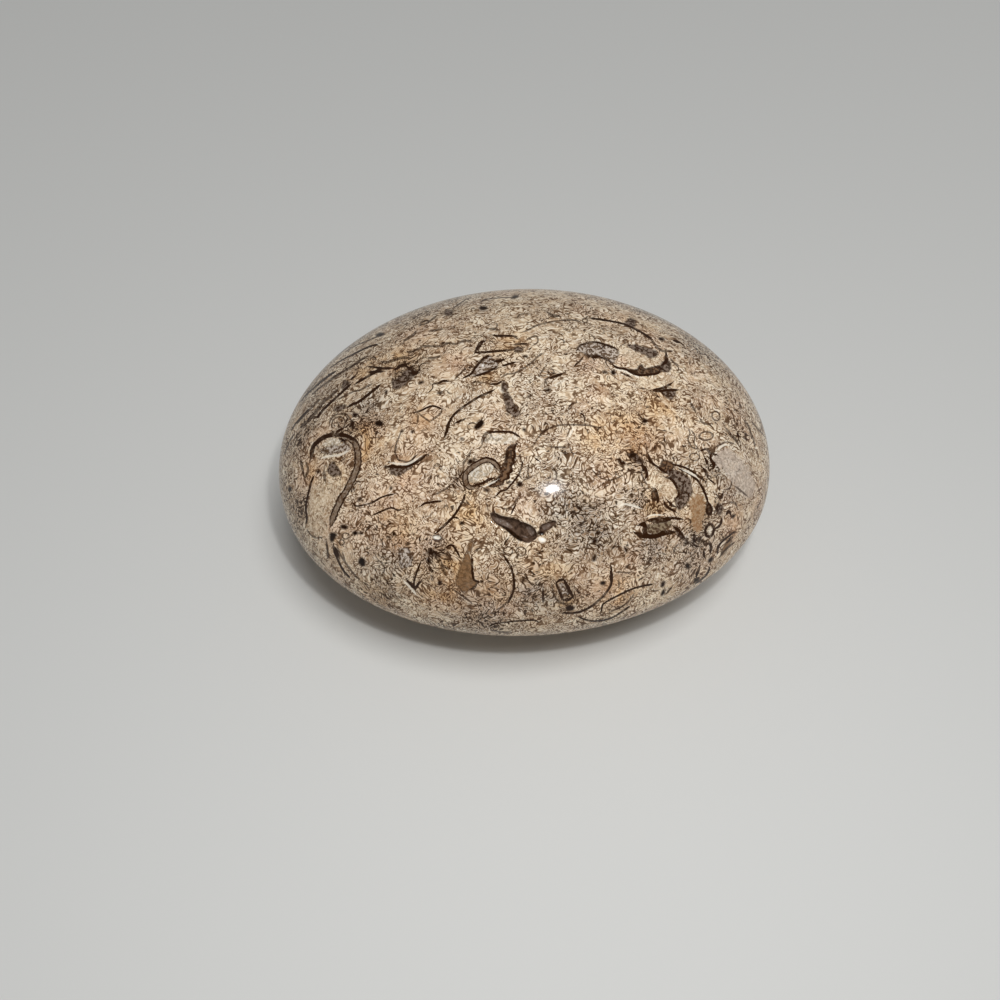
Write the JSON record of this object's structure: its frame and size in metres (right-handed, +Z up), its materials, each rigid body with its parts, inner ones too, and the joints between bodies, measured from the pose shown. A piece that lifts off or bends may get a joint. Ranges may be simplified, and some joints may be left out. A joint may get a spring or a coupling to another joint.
{
  "type": "fossil shell palm stone",
  "caption": "Polished oval palm stone of fossil shell limestone, domed all round, with small open pits in front and a small flat underneath to rest on.",
  "frame": {"origin": "centre of the small resting flat, at the bottom of the stone and below the middle of its plan", "axes": "+X along the length towards the end with the taller crown, -Y the front with the open pits, +Z up"},
  "size_m": [0.076, 0.063, 0.0383],
  "materials": {
    "polished_shell_limestone": "high polish"
  },
  "bodies": {
    "root": {"stone": "polished_shell_limestone"}
  },
  "joints": []
}
